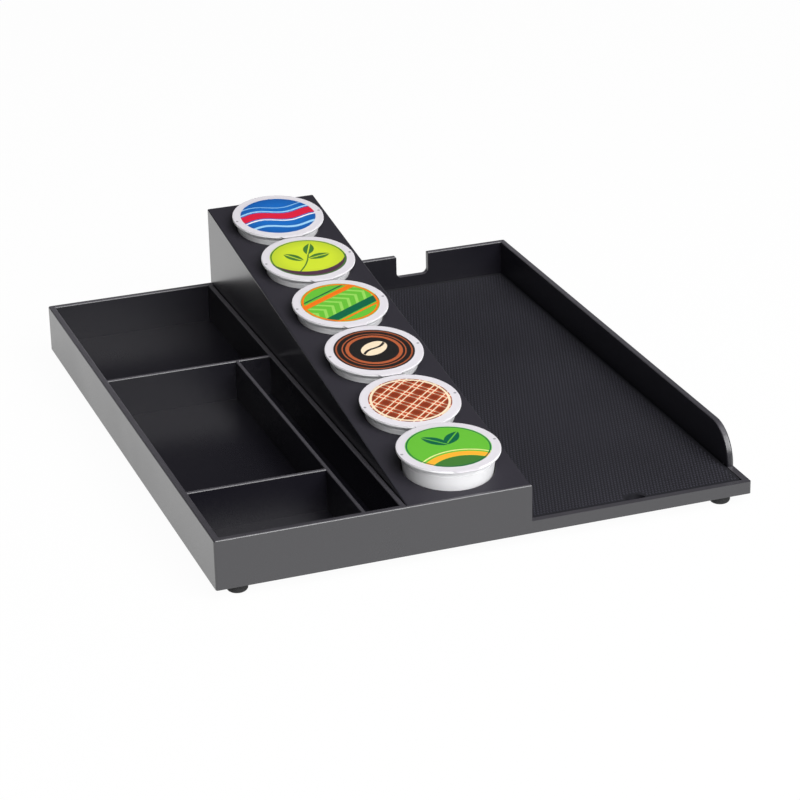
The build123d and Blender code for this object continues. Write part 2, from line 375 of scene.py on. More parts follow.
def dust_specks(name):
    """Dust: sparse round specks, each the near part of one Voronoi cell, laid over a colour."""
    tree, given, result = new_group(
        name,
        {"Colour": "colour", "Dust": "colour", "Spacing": "value", "Amount": "value"},
        {"Colour": "colour"},
    )
    spacing, amount = (Field(tree, given.outputs[label]) for label in ("Spacing", "Amount"))
    where = add_node(tree, "ShaderNodeTexCoord").outputs["Object"]
    cells = add_node(tree, "ShaderNodeTexVoronoi", {"Vector": where, "Scale": 1 / spacing})
    shades = add_node(tree, "ShaderNodeSeparateColor", {"Color": cells.outputs["Color"]})
    size = Field(tree, shades.outputs[0])
    near = Field(tree, cells.outputs["Distance"])
    bare, growth, blur = 0.6, 0.12, 0.02
    speck = near.below((size - bare) * growth, blur) * amount
    dusty = mixed(tree, speck, given.outputs["Colour"], given.outputs["Dust"])
    feed(tree, result.inputs["Colour"], dusty)
    return tree


def new_material(name, **constants):
    """A material with one Principled BSDF whose plain values are set on its own sockets."""
    material = bpy.data.materials.new(name)
    material.use_nodes = True
    tree = material.node_tree
    tree.nodes.clear()
    shader = tree.nodes.new("ShaderNodeBsdfPrincipled")
    out = tree.nodes.new("ShaderNodeOutputMaterial")
    tree.links.new(shader.outputs["BSDF"], out.inputs["Surface"])
    for label, value in constants.items():
        feed(tree, shader.inputs[label.replace("_", " ")], value)
    return material, tree, shader


def surfaced(tree, shader, paint, roughness, height, depth, strength=1.0):
    """Feeds a shader its colour, its roughness and a bump: a height in shares of a depth in metres."""
    bump = add_node(tree, "ShaderNodeBump", {"Height": height, "Distance": depth, "Strength": strength})
    feed(tree, shader.inputs["Base Color"], paint)
    feed(tree, shader.inputs["Roughness"], roughness)
    feed(tree, shader.inputs["Normal"], bump.outputs["Normal"])


def moulded_material(name, base, finish, roughness, drift, depth, dust=0.0, **constants):
    """Plastic or rubber out of a mould: clouds, grain and a little dust over one colour."""
    material, tree, shader = new_material(name, **constants)
    surface = place_group(tree, moulded_surface, {
        "Colour": base, "Cloud Size": finish.cloud, "Grain Size": finish.grain, "Drift": drift,
        "Roughness": roughness, "Roughness Spread": finish.spread,
    })
    dusty = place_group(tree, dust_specks, {
        "Colour": surface.outputs["Colour"], "Dust": finish.dust, "Spacing": finish.dust_gap, "Amount": dust,
    })
    surfaced(tree, shader, dusty.outputs["Colour"], surface.outputs["Roughness"],
             surface.outputs["Height"], depth)
    return material


def outer_skin(tree, node, depth):
    """1 on the upright outer faces of a CAD node's box and 0 deeper inside, by the distance to the
    nearest face."""
    low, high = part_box(node)
    place = object_place(tree)
    across, along = (
        abs(place[k] - (low[k] + high[k]) / 2) - (high[k] - low[k]) / 2 for k in range(2)
    )
    return 1 - across.higher(along).below(-depth, depth)


def upward(tree, edge=0.55, blur=0.5):
    """1 where a surface faces up and 0 where it stands upright, by the height of its unit normal."""
    rise = parted(tree, add_node(tree, "ShaderNodeTexCoord").outputs["Normal"])[2]
    return 1 - rise.below(edge, blur)


def lay_over(tree, shader, mask, paint):
    """Lays a colour over the material's own where the mask is 1."""
    base = shader.inputs["Base Color"]
    feed(tree, base, mixed(tree, mask, base.links[0].from_socket, paint))


def rub_rims(tree, shader, node, finish):
    """Paints a highlight on the rims: a paler grey laid over the upward faces above the rim height, more
    towards the back, in soft blotches."""
    low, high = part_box(node)
    _, along, height = object_place(tree)
    front, gain, blotch = 0.4, 0.5, 0.2
    amount = (along - low.y) * (gain / (high.y - low.y)) + front + noise(tree, 6 * MM) * blotch
    # Upward faces above the rim height, which get the painted highlight.
    rims = upward(tree) * (1 - height.below(finish.rims, 0.4 * MM))
    lay_over(tree, shader, rims * amount, finish.rubbed)


def dress(nodes, material):
    """Gives CAD nodes a finished material."""
    for name in nodes:
        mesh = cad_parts[name].data
        mesh.materials.clear()
        mesh.materials.append(material)


def signed_volume(points, faces):
    """Six times the volume that faces enclose: the sum of corner products over each face's fan of
    triangles."""
    total = 0.0
    for count in {len(face) for face in faces}:
        alike = np.array([face for face in faces if len(face) == count])
        first = points[alike[:, 0]]
        for k in range(1, count - 1):
            total += np.einsum("ij,ij->", first, np.cross(points[alike[:, k]], points[alike[:, k + 1]]))
    return total


def make_piece(name, points, faces, body, material, replaced=(), uv=None, crease=40):
    """A closed mesh at the origin with its faces outwards, riding on a CAD body.
    uv gives one pair for each vertex, and edges sharper than the crease angle stay sharp."""
    if signed_volume(points, faces) < 0:
        faces = [face[::-1] for face in faces]
    mesh = bpy.data.meshes.new(name)
    mesh.from_pydata(points.tolist(), [], faces)
    if mesh.validate():
        raise RuntimeError(f"the mesh of {name} had faults")
    mesh.polygons.foreach_set("use_smooth", np.ones(len(mesh.polygons), bool))
    mesh.set_sharp_from_angle(angle=math.radians(crease))
    if uv is not None:
        corner = np.empty(len(mesh.loops), np.int32)
        mesh.loops.foreach_get("vertex_index", corner)
        mesh.uv_layers.new(name="plan").uv.foreach_set("vector", uv[corner].astype(np.float32).ravel())
    mesh.materials.append(material)
    piece = bpy.data.objects.new(name, mesh)
    bpy.context.scene.collection.objects.link(piece)
    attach(piece, body)
    if replaced:
        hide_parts(*replaced)


def rounded(corners, steps=5):
    """An outline through corners (across, up, radius): each corner with a radius becomes an arc tangent
    to both of its sides, its points spread evenly over the turn."""
    plan = np.array(corners, float)
    outline = [plan[0, :2]]
    for before, here, after in zip(plan[:-2], plan[1:-1], plan[2:]):
        point, radius = here[:2], here[2]
        back, on = before[:2] - point, after[:2] - point
        back, on = back / np.linalg.norm(back), on / np.linalg.norm(on)
        half = math.acos(np.clip(back @ on, -1, 1)) / 2
        if radius == 0:
            outline.append(point)
            continue
        reach = radius / math.tan(half)
        middle = point + (back + on) / np.linalg.norm(back + on) * radius / math.sin(half)
        start, end = point + back * reach - middle, point + on * reach - middle
        turn = math.pi - 2 * half
        t = np.linspace(0, 1, steps + 1)[:, None]
        outline.extend(middle + (np.sin((1 - t) * turn) * start + np.sin(t * turn) * end) / math.sin(turn))
    outline.append(plan[-1, :2])
    return np.array(outline)


def tube_faces(rows, around):
    """Faces of a surface of closed rings between two poles: ring points come first, then the two poles."""
    ring, step = np.meshgrid(np.arange(rows - 1), np.arange(around), indexing="ij")
    beside = (step + 1) % around
    quads = np.stack([ring * around + step, ring * around + beside,
                      (ring + 1) * around + beside, (ring + 1) * around + step], -1).reshape(-1, 4)
    edge = np.arange(around)
    first = np.stack([np.full(around, rows * around), (edge + 1) % around, edge], -1)
    last = np.stack([np.full(around, rows * around + 1), (rows - 1) * around + edge,
                     (rows - 1) * around + (edge + 1) % around], -1)
    return quads.tolist() + first.tolist() + last.tolist()


def turned(outline, around):
    """A profile (radius, height) from axis to axis turned about the upright: point (r, z) at angle a
    is (r cos a, r sin a, z). Both ends lie on the axis and become poles."""
    a = np.linspace(0, 2 * math.pi, around, endpoint=False)
    radius, height = outline[1:-1, 0:1], outline[1:-1, 1:2]
    rings = np.stack([radius * np.cos(a), radius * np.sin(a), height + 0 * a], -1).reshape(-1, 3)
    poles = np.array([[0, 0, outline[0, 1]], [0, 0, outline[-1, 1]]])
    return np.vstack([rings, poles]), tube_faces(len(outline) - 2, around)


class PodPlace:
    """Where a pod stands, read from its CAD lid: the lid is a thin disc with a tab at its front, so the
    disc's plane is the flattest direction of its points, and its middle is one radius in from the
    back."""

    def __init__(self, pod):
        points = frame_points(f"{pod}_lid")
        flattest = np.linalg.svd(points - points.mean(0), full_matrices=False)[2][2]
        self.up = flattest * np.sign(flattest[2])
        self.right = np.array([1.0, 0.0, 0.0])
        self.back = np.cross(self.up, self.right)
        across, along, above = points @ self.right, points @ self.back, points @ self.up
        self.radius = np.ptp(across) / 2
        self.thickness = np.ptp(above)
        middle = (across.max() + across.min()) / 2
        self.top = middle * self.right + (along.max() - self.radius) * self.back + above.max() * self.up

    def put(self, points):
        """Pod points, with the height counted from the lid's top, in the frame."""
        return self.top + points @ np.array([self.right, self.back, self.up])


CUP_HEIGHT = 43.7 * MM
# Across, up and corner radius in millimetres: up the outside, over the rim and down the inside.
CUP_CORNERS = [
    (0.0, 0.0, 0.0), (18.5, 0.0, 1.6), (22.9, 39.3, 0.25), (22.4, 39.8, 0.2), (22.4, 42.5, 0.3),
    (25.5, 42.5, 0.5), (25.5, 43.7, 0.35), (21.6, 43.7, 0.2), (17.6, 1.0, 0.8), (0.0, 1.0, 0.0),
]


def cup_mesh(place, around):
    """A pod's cup: its profile, base to rim outside and back to the base inside, turned about the
    pod's axis."""
    outline = rounded(CUP_CORNERS) * MM - [0, CUP_HEIGHT + place.thickness]
    points, faces = turned(outline, around)
    return place.put(points), faces


TAB_WIDTH = 11.5 * MM
TAB_REACH = 1.3 * MM
TAB_BLEND = 0.22
TAB_DROOP = 0.08 * MM
SEAL_INNER, SEAL_OUTER = 22.2 * MM, 25.0 * MM
SEAL_PRESS = 0.05 * MM
# Points round a lid: over a blend, the tab, the other blend and the rest of the disc.
LID_ARC_STEPS = [14, 20, 14, 150]
LID_RINGS = np.array([4, 9, 14, 18.5, 21, 21.8, 22.3, 22.7, 23.4, 24.2]) * MM
LID_UNDER_RINGS = np.array([22.0, 12.0]) * MM


def lid_mesh(place, crown):
    """A foil lid: rings of polar points. The outer radius is the disc's, and over the tab it is the
    distance to a straight front edge. The foil bows up by the crown times one minus the squared share
    of the seal's radius, is pressed down over the seal, and the tab bends down a little towards its
    edge."""
    half = math.asin(TAB_WIDTH / 2 / place.radius)
    soft = half * TAB_BLEND
    front = -math.pi / 2
    stops = front + np.array([
        -half - soft, -half + soft, half - soft, half + soft, 2 * math.pi - half - soft,
    ])
    a = np.concatenate([np.linspace(lo, hi, n, endpoint=False)
                        for lo, hi, n in zip(stops[:-1], stops[1:], LID_ARC_STEPS)])
    turn = np.abs(a - front)
    turn = np.minimum(turn, 2 * math.pi - turn)
    t = np.clip((half + soft - turn) / (2 * soft), 0, 1)
    tab = t * t * (3 - 2 * t)
    straight = (place.radius + TAB_REACH) / np.cos(np.minimum(turn, half + soft))
    outer = place.radius + (straight - place.radius) * tab
    lip = place.thickness / 2
    roll = np.linspace(0, math.pi, 7)
    rim = outer[None, :] - lip + lip * np.sin(roll)[:, None]
    inner, under = (np.repeat(rings[:, None], len(a), 1) for rings in (LID_RINGS, LID_UNDER_RINGS))
    radius = np.vstack([inner, rim, under])
    bow = crown * np.clip(1 - (LID_RINGS / SEAL_INNER) ** 2, 0, 1)
    press = -SEAL_PRESS * ((LID_RINGS > SEAL_INNER) & (LID_RINGS < SEAL_OUTER))
    level = np.concatenate([bow + press, lip * np.cos(roll) - lip, [-2 * lip, -2 * lip]])
    droop = -TAB_DROOP * tab * np.clip((radius - place.radius) / TAB_REACH, 0, 1) ** 2
    height = level[:, None] + droop
    rings = np.stack([radius * np.cos(a), radius * np.sin(a), height], -1).reshape(-1, 3)
    points = np.vstack([rings, [[0, 0, crown], [0, 0, -2 * lip]]])
    uv = 0.5 + points[:, :2] / (2 * place.radius)
    return place.put(points), tube_faces(len(radius), len(a)), uv


def stud_field(low, high, finish, notch_radius):
    """Low diamond studs in staggered rows over the mat: a frustum of eight corners, moved to every
    lattice point that keeps the margin from the mat's edge and from its finger notch."""
    foot, top, sink = finish.stud / 2, finish.stud * 0.27, 0.05 * MM
    across = np.arange(low.x + finish.margin + foot, high.x - finish.margin - foot, finish.pitch)
    reach = foot * finish.stretch
    along = np.arange(low.y + finish.margin + reach, high.y - finish.margin - reach, finish.row)
    row, column = np.meshgrid(np.arange(len(along)), np.arange(len(across)), indexing="ij")
    x = across[column] + (row % 2) * finish.pitch / 2
    y = along[row]
    x, y = x.ravel(), y.ravel()
    clear = np.hypot(x - (low.x + high.x) / 2, y - low.y) > notch_radius + finish.margin
    kept = clear & (x < high.x - finish.margin - foot)
    centres = np.stack([x[kept], y[kept], np.full(kept.sum(), high.z)], -1)
    turn = np.arange(4) * math.pi / 2
    ring = np.stack([np.cos(turn), finish.stretch * np.sin(turn)], -1)
    corners = np.vstack([np.column_stack([ring * foot, np.full(4, -sink)]),
                         np.column_stack([ring * top, np.full(4, finish.height)])])
    points = (centres[:, None, :] + corners[None]).reshape(-1, 3)
    one = np.array([[3, 2, 1, 0], [4, 5, 6, 7], [0, 1, 5, 4], [1, 2, 6, 5], [2, 3, 7, 6], [3, 0, 4, 7]])
    faces = (np.arange(len(centres))[:, None, None] * 8 + one[None]).reshape(-1, 4)
    return points, faces.tolist()


SCREW_HEAD = 1.5 * MM
SCREW_DOME = 0.55 * MM
SCREW_TIP = 0.8 * MM


def screw_mesh(middle, bottom, top, head_radius, recess, around=48):
    """A screw seen from below: a domed head on a ring grid, sunk by the recess depth where a point is
    within the arms of a cross, then the underside, a plain shank and its blunt end."""
    a = np.linspace(0, 2 * math.pi, around, endpoint=False)
    spread = np.linspace(0.06, 1, 22)[:, None] * head_radius
    x, y = spread * np.cos(a), spread * np.sin(a)
    arm, reach = 0.19 * head_radius, 0.62 * head_radius
    in_arm = np.maximum(np.minimum(np.abs(x), np.abs(y)) / arm, np.maximum(np.abs(x), np.abs(y)) / reach)
    brink, slope = 1.15, 0.3
    sunk = np.clip((brink - in_arm) / slope, 0, 1)
    dome = SCREW_DOME * (spread / head_radius) ** 2
    face = np.stack([x, y, dome + recess * sunk], -1)
    tall, shank = top - bottom, head_radius * 0.5
    outline = np.array([[head_radius, SCREW_HEAD], [shank, SCREW_HEAD], [shank, tall - SCREW_TIP],
                        [shank * 0.55, tall]])
    side = np.stack([outline[:, :1] * np.cos(a), outline[:, :1] * np.sin(a), outline[:, 1:] + 0 * a], -1)
    rings = np.concatenate([face, side]).reshape(-1, 3)
    points = np.vstack([rings, [[0, 0, recess], [0, 0, tall]]]) + [middle[0], middle[1], bottom]
    return points, tube_faces(len(face) + len(side), around)


def lid_plan(name):
    """Place on a lid in radii of its printed disc: right, back and the distance from the middle, from
    the UV map, where the whole lid fills the unit square."""
    tree, given, result = new_group(
        name, {"Disc": "value"}, {"Right": "value", "Back": "value", "Radius": "value"}
    )
    disc = Field(tree, given.outputs["Disc"])
    place = parted(tree, add_node(tree, "ShaderNodeUVMap", uv_map="plan").outputs["UV"])
    right, back = ((part - 0.5) * 2 / disc for part in place[:2])
    feed(tree, result.inputs["Right"], right)
    feed(tree, result.inputs["Back"], back)
    feed(tree, result.inputs["Radius"], (right * right + back * back).root())
    return tree


def printed_foil(name):
    """Printed foil: the artwork inside the disc, a plain border with two register dots round it, a fine
    mottle in the ink, and the height of a crinkled foil."""
    tree, given, result = new_group(
        name,
        {"Artwork": "colour", "Border": "colour", "Right": "value", "Back": "value", "Radius": "value"},
        {"Colour": "colour", "Roughness": "value", "Height": "value"},
    )
    right, back, radius = (Field(tree, given.outputs[label]) for label in ("Right", "Back", "Radius"))
    crinkle = noise(tree, 5 * MM, detail=1)
    mottle = noise(tree, 0.5 * MM)
    printed = radius.below(1.0)
    dot_place, dot_radius, dot_strength, dot_grey = 1.14, 0.035, 0.75, (0.16, 0.16, 0.18)
    dot_gap = abs(right) - dot_place
    dots = (dot_gap * dot_gap + back * back).root().below(dot_radius)
    plain = mixed(tree, dots * dot_strength, given.outputs["Border"], dot_grey)
    inked = mixed(tree, (mottle - 0.55) * 0.12, given.outputs["Artwork"], (1, 1, 1))
    feed(tree, result.inputs["Colour"], mixed(tree, printed, plain, inked))
    feed(tree, result.inputs["Roughness"], 0.38 + mottle * 0.12 + (1 - printed) * 0.08)
    feed(tree, result.inputs["Height"], crinkle * 0.9 + mottle * 0.1)
    return tree


class Artwork:
    """A lid's picture in the making: colours laid one over another by masks on the lid's plan."""

    def __init__(self, tree, plan, ground):
        self.tree = tree
        self.right, self.back, self.radius = (
            Field(tree, plan.outputs[label]) for label in ("Right", "Back", "Radius")
        )
        self.colour = ground

    def lay(self, mask, ink, strength=1.0):
        """Lays an ink over the picture where the mask is 1."""
        self.colour = mixed(self.tree, mask if strength == 1 else mask * strength, self.colour, ink)

    def turned(self, middle, degrees):
        """Right and back counted from a middle and turned."""
        c, s = math.cos(math.radians(degrees)), math.sin(math.radians(degrees))
        x, y = self.right - middle[0], self.back - middle[1]
        return x * c + y * s, y * c - x * s

    def leaf(self, middle, degrees, long, wide):
        """A pointed leaf's mask and its rib's: the half width falls with the square of the place along it."""
        along, across = self.turned(middle, degrees)
        edge = (1 - along * along * (1 / long ** 2)) * wide
        inside = (abs(across) - edge).below(0)
        return inside, abs(across).below(0.018) * inside


def art_waves(art, inks):
    """Lid 1: swells, which are rows whose place goes up and down with a sine across the lid."""
    swell = art.back + (art.right * 4.2 + 0.6).sine() * 0.10
    art.lay(art.radius.higher(0.55) - 0.55, inks.navy, 0.8)
    art.lay(abs(swell + 0.60).below(0.05), inks.sky)
    art.lay(abs(swell - 0.02).below(0.17), inks.red)
    art.lay(abs(swell - 0.27).below(0.035), inks.sky)
    art.lay(abs(swell + 0.23).below(0.03), inks.chalk)
    art.lay(abs(swell - 0.52).below(0.02), inks.sky, 0.8)


def art_sprig(art, inks):
    """Lid 2: three leaves on a bent stem over a crescent, which is what a shifted circle leaves bare."""
    art.lay(art.radius.higher(0.6) - 0.6, inks.moss, 0.6)
    stem_x, stem_y = art.turned((-0.1, -0.2), 62)
    art.lay(abs(stem_y - stem_x * stem_x * 0.25).below(0.02) * abs(stem_x).below(0.55), inks.moss)
    for middle, degrees in (((-0.36, 0.12), 128), ((0.30, 0.02), 12), ((0.16, 0.46), 66)):
        leaf, rib = art.leaf(middle, degrees, 0.33, 0.14)
        art.lay(leaf, inks.moss)
        art.lay(rib, inks.lime)
    shifted = (art.right * art.right + (art.back - 0.32) * (art.back - 0.32)).root()
    art.lay(1 - shifted.below(1.06), inks.plum)
    art.lay(abs(art.radius - 0.965).below(0.018), inks.moss)


def art_bars(art, inks):
    """Lid 3: slanting bars beside a band of chevrons, which are stripes folded about one line."""
    along, across = art.turned((0, 0), 28)
    chevron = (along + abs(across) * 0.8).folded(0.14)
    art.lay(chevron.below(0.05) * abs(across + 0.02).below(0.34), inks.grass)
    art.lay(abs(across - 0.42).below(0.085), inks.orange)
    art.lay(abs(across + 0.46).below(0.13), inks.pine)
    art.lay(abs(across + 0.66).below(0.03), inks.orange)
    art.lay(abs(across - 0.60).below(0.025), inks.pine)
    art.lay(abs(art.radius - 0.95).below(0.03), inks.orange)


def art_bean(art, inks):
    """Lid 4: an ellipse with a bent groove for a bean, inside three copper rings."""
    along, across = art.turned((0.02, 0.06), 35)
    bean = (along * along * (1 / 0.40 ** 2) + across * across * (1 / 0.27 ** 2)).root()
    groove = abs(across + (along * 7.5).sine() * 0.05)
    art.lay(bean.below(1.0, 0.03), inks.cream)
    art.lay(groove.below(0.035) * bean.below(0.97, 0.03), inks.black)
    art.lay(abs(art.radius - 0.66).below(0.045), inks.copper)
    art.lay(abs(art.radius - 0.78).below(0.015), inks.copper)
    art.lay(abs(art.radius - 0.93).below(0.02), inks.copper, 0.8)


def art_checks(art, inks):
    """Lid 5: a woven check, where two sets of slanting stripes cross and add up."""
    along, across = art.turned((0, 0), 40)
    for stripe in (along, across):
        art.lay(stripe.folded(0.21).below(0.075), inks.brown, 0.55)
        art.lay(abs(stripe.folded(0.21) - 0.145).below(0.016), inks.cream, 0.9)
    art.lay(abs(art.radius - 0.94).below(0.03), inks.cream)


def art_arc(art, inks):
    """Lid 6: bands round a middle in front of the lid, and a pair of leaves behind them."""
    far = (art.right * art.right + (art.back + 1.5) * (art.back + 1.5)).root()
    art.lay(far.below(0.98), inks.moss)
    art.lay(abs(far - 1.09).below(0.10), inks.amber)
    art.lay(abs(far - 1.27).below(0.022), inks.straw)
    for middle, degrees in (((0.22, 0.36), 48), ((-0.20, 0.34), 132)):
        leaf, rib = art.leaf(middle, degrees, 0.38, 0.16)
        art.lay(leaf, inks.pine)
        art.lay(rib, inks.green)
    art.lay(abs(art.radius - 0.965).below(0.015), inks.pine)


LIDS = {
    "pod_1": ("lid_blue", "blue", art_waves),
    "pod_2": ("lid_lime", "lime", art_sprig),
    "pod_3": ("lid_orange_green", "green", art_bars),
    "pod_4": ("lid_black", "black", art_bean),
    "pod_5": ("lid_rust", "rust", art_checks),
    "pod_6": ("lid_amber_green", "green", art_arc),
}


def lid_material(pod, settings):
    """A lid's foil with its own generic picture."""
    slot, ground, picture = LIDS[pod]
    material, tree, shader = new_material(f"{slot}_foil", Specular_IOR_Level=0.35)
    plan = place_group(tree, lid_plan, {"Disc": settings.pods.disc})
    art = Artwork(tree, plan, tuple(getattr(settings.inks, ground)))
    picture(art, settings.inks)
    foil = place_group(tree, printed_foil, {
        "Artwork": art.colour, "Border": settings.pods.border,
        **{label: plan.outputs[label] for label in ("Right", "Back", "Radius")},
    })
    surfaced(tree, shader, foil.outputs["Colour"], foil.outputs["Roughness"], foil.outputs["Height"],
             depth=0.12 * MM, strength=0.6)
    return material


class COFFEETRAY_OT_mouldings(bpy.types.Operator):
    """Finish the tray and the pod rack in satin black plastic"""

    bl_idname = "coffeetray.mouldings"
    bl_label = "Tray and rack"

    def execute(self, context):
        finish = context.scene.coffee_tray.tray
        surface = {"drift": 0.25, "depth": 0.005 * MM, "dust": 0.15, "Coat_Roughness": 0.25, "Coat_IOR": 2.2}
        tray = moulded_material("tray_black", finish.plastic, finish, finish.plastic_roughness,
                                Specular_IOR_Level=0.66, **surface)
        tree, shader = tray.node_tree, tray.node_tree.nodes["Principled BSDF"]
        polish = outer_skin(tree, "base_tray", finish.skin) * (1 - upward(tree))
        feed(tree, shader.inputs["Coat Weight"], polish * finish.polish)
        rub_rims(tree, shader, "base_tray", finish)
        dress(["base_tray"], tray)
        rack = moulded_material("rack_black", finish.plastic, finish, finish.rack_roughness,
                                Specular_IOR_Level=0.18, **surface)
        tree, shader = rack.node_tree, rack.node_tree.nodes["Principled BSDF"]
        feed(tree, shader.inputs["Coat Weight"], 1 - upward(tree))
        # Painted light: the upward faces get the paler deck black, and the upright sides keep the plain
        # black.
        lay_over(tree, shader, upward(tree), finish.deck)
        dress(["pod_rack"], rack)
        return {"FINISHED"}


class COFFEETRAY_OT_feet(bpy.types.Operator):
    """Finish the four feet in soft rubber"""

    bl_idname = "coffeetray.feet"
    bl_label = "Feet"

    def execute(self, context):
        finish = context.scene.coffee_tray.tray
        rubber = moulded_material("foot_black", finish.foot, finish, roughness=0.72, drift=0.4,
                                  depth=0.03 * MM, dust=0.3)
        dress(FEET, rubber)
        return {"FINISHED"}


class COFFEETRAY_OT_screws(bpy.types.Operator):
    """Make the four screws that hold the rack from below"""

    bl_idname = "coffeetray.screws"
    bl_label = "Rack screws"
    head_radius = 2.7 * MM

    def execute(self, context):
        finish = context.scene.coffee_tray.tray
        low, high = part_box("rack_screws")
        r = self.head_radius
        points, faces, count = [], [], 0
        for x in (low.x + r, high.x - r):
            for y in (low.y + r, high.y - r):
                screw, sides = screw_mesh((x, y), low.z, high.z, r, finish.recess)
                points.append(screw)
                faces += [[k + count for k in side] for side in sides]
                count += len(screw)
        material, tree, shader = new_material("screw_zinc", Metallic=1.0)
        surface = place_group(tree, moulded_surface, {
            "Colour": finish.screw, "Cloud Size": 2 * MM, "Grain Size": 0.25 * MM, "Drift": 0.35,
            "Roughness": 0.34, "Roughness Spread": 0.25,
        })
        surfaced(tree, shader, surface.outputs["Colour"], surface.outputs["Roughness"],
                 surface.outputs["Height"], depth=0.02 * MM)
        make_piece("rack_screws_driven", np.vstack(points), faces, "tray", material,
                   ["rack_screws"], crease=35)
        return {"FINISHED"}


class COFFEETRAY_OT_mat(bpy.types.Operator):
    """Finish the brewer mat in charcoal rubber and set its studs"""

    bl_idname = "coffeetray.mat"
    bl_label = "Brewer mat"
    notch_radius = 5.2 * MM

    def execute(self, context):
        tray, finish = context.scene.coffee_tray.tray, context.scene.coffee_tray.mat
        surface = {"drift": 0.5, "depth": 0.04 * MM, "dust": 0.25}
        rubber = moulded_material("mat_charcoal", finish.rubber, tray, roughness=0.62, **surface)
        dress(["brewer_mat"], rubber)
        low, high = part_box("brewer_mat")
        points, faces = stud_field(low, high, finish, self.notch_radius)
        # The studs' paler colour is a painted highlight on the mat's relief.
        crowns = moulded_material("stud_charcoal", finish.crown, tray, roughness=0.58, **surface)
        make_piece("mat_studs", points, faces, "mat", crowns, crease=20)
        return {"FINISHED"}


class COFFEETRAY_OT_cups(bpy.types.Operator):
    """Make the six white pod cups"""

    bl_idname = "coffeetray.cups"
    bl_label = "Pod cups"

    def execute(self, context):
        tray, pods = context.scene.coffee_tray.tray, context.scene.coffee_tray.pods
        white = moulded_material("cup_white", pods.cup, tray, roughness=0.58, drift=0.06,
                                 depth=0.01 * MM, Specular_IOR_Level=0.3)
        for pod in PODS:
            points, faces = cup_mesh(PodPlace(pod), pods.around)
            make_piece(f"{pod}_cup_moulded", points, faces, pod, white, [f"{pod}_cup"])
        return {"FINISHED"}


class COFFEETRAY_OT_lids(bpy.types.Operator):
    """Make the six printed foil lids"""

    bl_idname = "coffeetray.lids"
    bl_label = "Pod lids"

    def execute(self, context):
        settings = context.scene.coffee_tray
        for pod in PODS:
            points, faces, uv = lid_mesh(PodPlace(pod), settings.pods.crown)
            make_piece(f"{pod}_lid_printed", points, faces, pod, lid_material(pod, settings),
                       [f"{pod}_lid"], uv)
        return {"FINISHED"}


class COFFEETRAY_OT_contents(bpy.types.Operator):
    """Finish the paper filters and the coffee inside the pods"""

    bl_idname = "coffeetray.contents"
    bl_label = "Filters and coffee"

    def execute(self, context):
        pods = context.scene.coffee_tray.pods
        paper, tree, shader = new_material("filter_brown")
        fibres = noise(tree, 0.8 * MM, detail=6, roughness=0.7)
        # The fibre noise gives the paper a random tone and its bump together, so the paper is also painted
        # darker in the bump's hollows: painted shade.
        shade = tuple(0.7 * part for part in pods.paper)
        paint = mixed(tree, fibres, shade, pods.paper)
        surfaced(tree, shader, paint, fibres * 0.2 + 0.75, fibres, depth=0.08 * MM)
        dress([f"{pod}_filter" for pod in PODS], paper)
        grounds, tree, shader = new_material("coffee_grounds")
        where = add_node(tree, "ShaderNodeTexCoord").outputs["Object"]
        cells = add_node(tree, "ShaderNodeTexVoronoi", {"Vector": where, "Scale": 1 / (0.9 * MM)})
        grain = Field(tree, cells.outputs["Distance"])
        # Painted light and shade: each grain is painted lighter at its middle, where its bump is highest, and
        # darker where it meets the next grain.
        light = tuple(1.8 * part for part in pods.grounds)
        paint = mixed(tree, grain, light, pods.grounds)
        surfaced(tree, shader, paint, grain * 0.3 + 0.6, 1 - grain, depth=0.5 * MM)
        dress([f"{pod}_fill" for pod in PODS], grounds)
        return {"FINISHED"}


